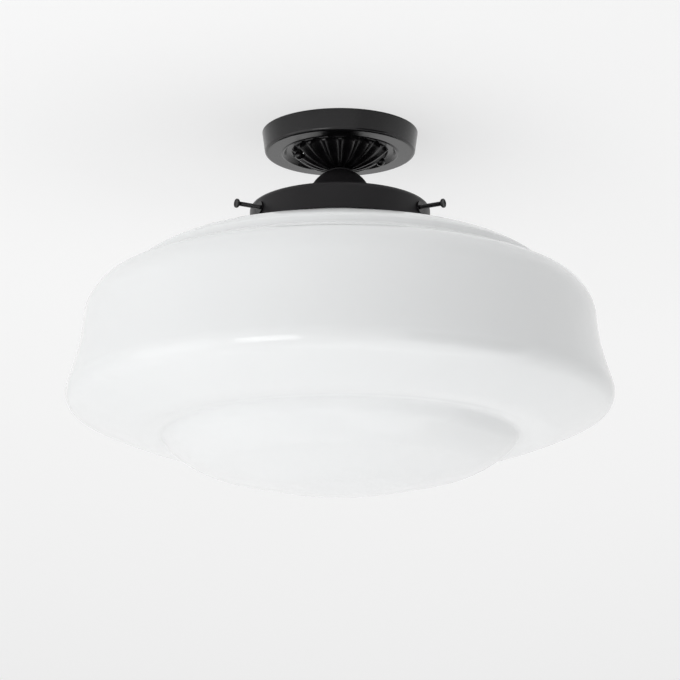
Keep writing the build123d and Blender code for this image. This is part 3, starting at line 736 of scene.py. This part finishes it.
@dataclass
class ThumbScrews:
    """The three threaded screws with small dished heads that hold the shade's lip."""

    azimuths: tuple[tuple[str, float], ...] = (("left", 210.0), ("right", 330.0), ("back", 90.0))
    thread: Thread = Thread(0.002, 0.0007, 0.00035)
    tip_length: float = 0.0006
    tip_share: float = 0.7  # radius of the tip's end over the thread's core
    collar_share: float = 1.3  # radius under the head over the thread's core
    small_round: float = 0.0002
    head_length: float = 0.003
    head_outline: tuple[Corner, ...] = (  # heights above the head's foot
        Corner(0.0034, 0.0005, 0.0006),
        Corner(0.0040, 0.0013, 0.0005),
        Corner(0.0040, 0.0027, 0.0004),
        Corner(0.0033, 0.0030, 0.0004),
        Corner(0.0024, 0.0021, 0.0008),
        Corner(0.0012, 0.0019, 0.0006),
        Corner(0.0, 0.0022),
    )
    facets: int = 40
    chord: float = 0.0003

    def build(self, shop: Workshop) -> None:
        """Model one screw, copy it to each place and dress them.

        Args:
            shop: Where the finishes are kept.
        """
        low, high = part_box("thumb_screw_back")
        length = high.y - low.y
        first = self.screw(length)
        for side, azimuth in self.azimuths:
            piece = copied(first, f"dished_thumb_screw_{side}")
            around = math.radians(azimuth)
            place = Vector((math.cos(around), math.sin(around), 0.0)) * low.y
            place.z = (low.z + high.z) / 2.0
            set_down(piece, place, (0.0, FULL_TURN / 4.0, around))
            shop.dress(piece, Finish.BLACK_METAL)
            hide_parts(f"thumb_screw_{side}")
            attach(piece, f"{side}_thumb_screw")
            LOG.info("%s: %d faces", piece.name, len(piece.data.polygons))
        bpy.data.objects.remove(first)

    def screw(self, length: float) -> bpy.types.Object:
        """Model a screw that stands on its tip on the Z axis.

        Args:
            length: Its whole length.

        Returns:
            The screw.
        """
        head_foot = length - self.head_length
        rod = self.thread.rod("thumb_screw_rod", self.tip_length, head_foot)
        core = self.thread.radius - self.thread.depth
        tip = turned(
            "thumb_screw_tip",
            (
                Corner(0.0, 0.0),
                Corner(core * self.tip_share, 0.0, self.small_round),
                Corner(core, self.tip_length, 0.0),
                Corner(core, 2.0 * self.tip_length, 0.0),
                Corner(0.0, 2.0 * self.tip_length),
            ),
            self.facets, self.chord,
        )
        rim = [Corner(c.radius, head_foot + c.height, c.rounding) for c in self.head_outline]
        head = turned(
            "thumb_screw_head",
            (
                Corner(0.0, head_foot),
                Corner(core * self.collar_share, head_foot, self.small_round),
                *rim,
            ),
            self.facets, self.chord,
        )
        piece = joined("thumb_screw", (rod, tip, head))
        smooth(piece)
        return piece


@dataclass
class Nipple:
    """The hollow threaded nipple that carries the gallery and the lamp holder."""

    node: str = "threaded_nipple"
    thread: Thread = Thread(0.005, 0.001, 0.00055, 40)
    bore: float = 0.0038

    def build(self, shop: Workshop) -> None:
        """Wind the thread, bore it through and dress it.

        Args:
            shop: Where the finishes are kept.
        """
        low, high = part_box(self.node)
        rod = self.thread.rod("nipple_thread", low.z, high.z, filled=False)
        bpy.ops.object.select_all(action="DESELECT")
        bpy.ops.mesh.primitive_cylinder_add(
            vertices=self.thread.steps, radius=self.bore, depth=high.z - low.z,
            location=(0.0, 0.0, (low.z + high.z) / 2.0), end_fill_type="NOTHING",
        )
        bore = bpy.context.active_object
        bpy.ops.object.transform_apply(location=True, rotation=True, scale=True)
        with editing(bore):
            bpy.ops.mesh.select_all(action="SELECT")
            bpy.ops.mesh.flip_normals()
        piece = joined("bored_nipple", (rod, bore))
        for height in (low.z, high.z):
            select_edges_at(piece, height)
            bpy.ops.object.mode_set(mode="EDIT")
            bpy.ops.mesh.bridge_edge_loops()
            bpy.ops.object.mode_set(mode="OBJECT")
        with editing(piece):
            bpy.ops.mesh.select_all(action="SELECT")
            bpy.ops.mesh.normals_make_consistent(inside=False)
        smooth(piece)
        shop.dress(piece, Finish.PLATED_STEEL)
        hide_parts(self.node)
        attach(piece, "fixture")
        LOG.info("%s: %d faces", piece.name, len(piece.data.polygons))


def select_edges_at(piece: bpy.types.Object, height: float) -> None:
    """Select the open edges that lie at a height, from object mode.

    Args:
        piece: The piece.
        height: Height of the edges.
    """
    with editing(piece):
        bpy.ops.mesh.select_mode(type="EDGE")
        bpy.ops.mesh.select_non_manifold(extend=False, use_wire=False, use_multi_face=False)
    points = piece.data.vertices
    for edge in piece.data.edges:
        flat = all(abs(points[index].co.z - height) < MERGE for index in edge.vertices)
        edge.select = edge.select and flat
    for point in points:
        point.select = False
    for face in piece.data.polygons:
        face.select = False


# ------------------------------------------------------------------ studio
@dataclass
class Lamp:
    """A soft lamp of the studio: a square panel that faces the light."""

    name: str
    place: tuple[float, float, float]
    size: float
    power: float
    aim: tuple[float, float, float] = (0.0, 0.0, -0.2)

    def build(self) -> None:
        """Hang the lamp and turn it to its aim."""
        bpy.ops.object.select_all(action="DESELECT")
        bpy.ops.object.light_add(type="AREA", location=self.place)
        lamp = bpy.context.active_object
        lamp.name = self.name
        lamp.data.size = self.size
        lamp.data.energy = self.power
        lamp.visible_camera = False
        away = Vector(self.place) - Vector(self.aim)
        lamp.rotation_euler = away.to_track_quat("Z", "Y").to_euler()


@dataclass
class Studio:
    """Pale ceiling and floor, soft lamps and the camera."""

    backdrop: float = 0.896
    paper_glow: float = 0.61
    paper_tone: float = 0.32
    ceiling_half: float = 14.0
    ceiling_gap: float = 0.0002  # between the canopy's edge and the ceiling
    sheet_cells: int = 8
    flag_cells: int = 4
    floor_half: float = 5.0
    floor_drop: float = 4.0
    sky: float = 0.56
    flag_tone: float = 0.04
    flag_place: tuple[float, float, float] = (0.85, -0.75, -0.42)
    flag_width: float = 1.5
    flag_height: float = 0.82
    lamps: tuple[Lamp, ...] = (
        Lamp("left_panel", (-2.6, -1.0, -0.9), 2.0, 10.0),
        Lamp("low_panel", (0.9, -0.6, -2.2), 2.6, 13.0),
        Lamp("front_panel", (-1.7, -3.0, -1.5), 1.6, 26.0),
    )
    camera_place: tuple[float, float, float] = (0.0, -2.2046, -0.746)
    camera_tilt: float = 104.2
    lens: float = 139.0
    sensor: float = 36.0

    def build(self) -> None:
        """Set the whole studio up."""
        self.sheet("studio_ceiling", self.ceiling_gap, self.ceiling_half, True)
        self.sheet("studio_floor", -self.floor_drop, self.floor_half, False)
        self.flag()
        for lamp in self.lamps:
            lamp.build()
        self.surround()
        self.place_camera()

    def sheet(self, name: str, height: float, half: float, open_above: bool) -> None:
        """Lay a pale sheet of the backdrop.

        Args:
            name: Its name.
            height: Its height in the frame.
            half: Half its side.
            open_above: Whether a look from above goes through it.
        """
        bpy.ops.object.select_all(action="DESELECT")
        cells = self.sheet_cells
        bpy.ops.mesh.primitive_grid_add(x_subdivisions=cells, y_subdivisions=cells, size=2.0 * half)
        sheet = bpy.context.active_object
        sheet.name = sheet.data.name = name
        with editing(sheet):
            bpy.ops.mesh.select_all(action="SELECT")
            bpy.ops.transform.translate(value=(0.0, 0.0, height))
        sheet.data.materials.append(self.paper(name, open_above))

    def flag(self) -> None:
        """Stand a dark panel at the front right, which shades that side of the glass."""
        bpy.ops.object.select_all(action="DESELECT")
        turn = Vector((*self.flag_place[:2], 0.0)).to_track_quat("Z", "Y").to_euler()
        bpy.ops.mesh.primitive_grid_add(
            x_subdivisions=self.flag_cells, y_subdivisions=self.flag_cells, size=1.0,
            location=self.flag_place, rotation=turn, scale=(self.flag_width, self.flag_height, 1.0),
        )
        panel = bpy.context.active_object
        panel.name = panel.data.name = "studio_flag"
        bpy.ops.object.transform_apply(location=True, rotation=True, scale=True)
        make = MaterialBuilder("studio_flag_cloth")
        make.shader.inputs["Base Color"].default_value = (*[self.flag_tone] * 3, 1.0)
        make.shader.inputs["Roughness"].default_value = 1.0
        panel.data.materials.append(make.material)
        panel.visible_camera = False

    def paper(self, name: str, open_above: bool) -> bpy.types.Material:
        """Make the pale matt material of a sheet.

        Args:
            name: The material's name.
            open_above: Whether its upper side is clear.

        Returns:
            The material.
        """
        make = MaterialBuilder(name + "_paper")
        make.shader.inputs["Base Color"].default_value = (*[self.paper_tone] * 3, 1.0)
        make.shader.inputs["Emission Color"].default_value = WHITE
        make.shader.inputs["Emission Strength"].default_value = self.paper_glow
        make.shader.inputs["Roughness"].default_value = 1.0
        make.shader.inputs["Specular IOR Level"].default_value = 0.0
        if open_above:
            side = make.node("ShaderNodeNewGeometry").outputs["Backfacing"]
            clear = make.node("ShaderNodeBsdfTransparent").outputs["BSDF"]
            choose = make.node("ShaderNodeMixShader")
            make.link(clear, choose.inputs[1])
            make.link(make.shader.outputs["BSDF"], choose.inputs[2])
            make.link(side, choose.inputs["Fac"])
            surface = make.tree.nodes["Material Output"].inputs["Surface"]
            make.link(choose.outputs["Shader"], surface)
        return make.material

    def surround(self) -> None:
        """Light the object from all round, with a pale backdrop to the eye and to gloss."""
        world = bpy.data.worlds.new("studio_world")
        bpy.context.scene.world = world
        world.use_nodes = True
        nodes, links = world.node_tree.nodes, world.node_tree.links
        path = nodes.new("ShaderNodeLightPath")
        seen = nodes.new("ShaderNodeMath")
        seen.operation = "MAXIMUM"
        links.new(path.outputs["Is Camera Ray"], seen.inputs[0])
        links.new(path.outputs["Is Transmission Ray"], seen.inputs[1])
        either = nodes.new("ShaderNodeMath")
        either.operation = "MAXIMUM"
        links.new(seen.outputs[0], either.inputs[0])
        links.new(path.outputs["Is Glossy Ray"], either.inputs[1])
        strength = nodes.new("ShaderNodeMapRange")
        strength.inputs["To Min"].default_value = self.sky
        strength.inputs["To Max"].default_value = self.backdrop
        links.new(either.outputs[0], strength.inputs["Value"])
        links.new(strength.outputs["Result"], nodes["Background"].inputs["Strength"])
        nodes["Background"].inputs["Color"].default_value = WHITE

    def place_camera(self) -> None:
        """Set the camera where the photograph was taken from."""
        turn = (math.radians(self.camera_tilt), 0.0, 0.0)
        bpy.ops.object.camera_add(location=self.camera_place, rotation=turn)
        camera = bpy.context.active_object
        camera.name = "studio_camera"
        camera.data.sensor_width = self.sensor
        camera.data.lens = self.lens
        bpy.context.scene.camera = camera


def main() -> None:
    """Build the dressed light and its studio in order."""
    logging.basicConfig(level=logging.INFO)
    scene = bpy.context.scene
    scene.view_settings.view_transform = "Standard"
    Studio().build()
    shop = Workshop()
    shop.dress_nodes()
    GlassShade().build(shop)
    ThumbScrews().build(shop)
    Nipple().build(shop)


if __name__ == "__main__":
    main()
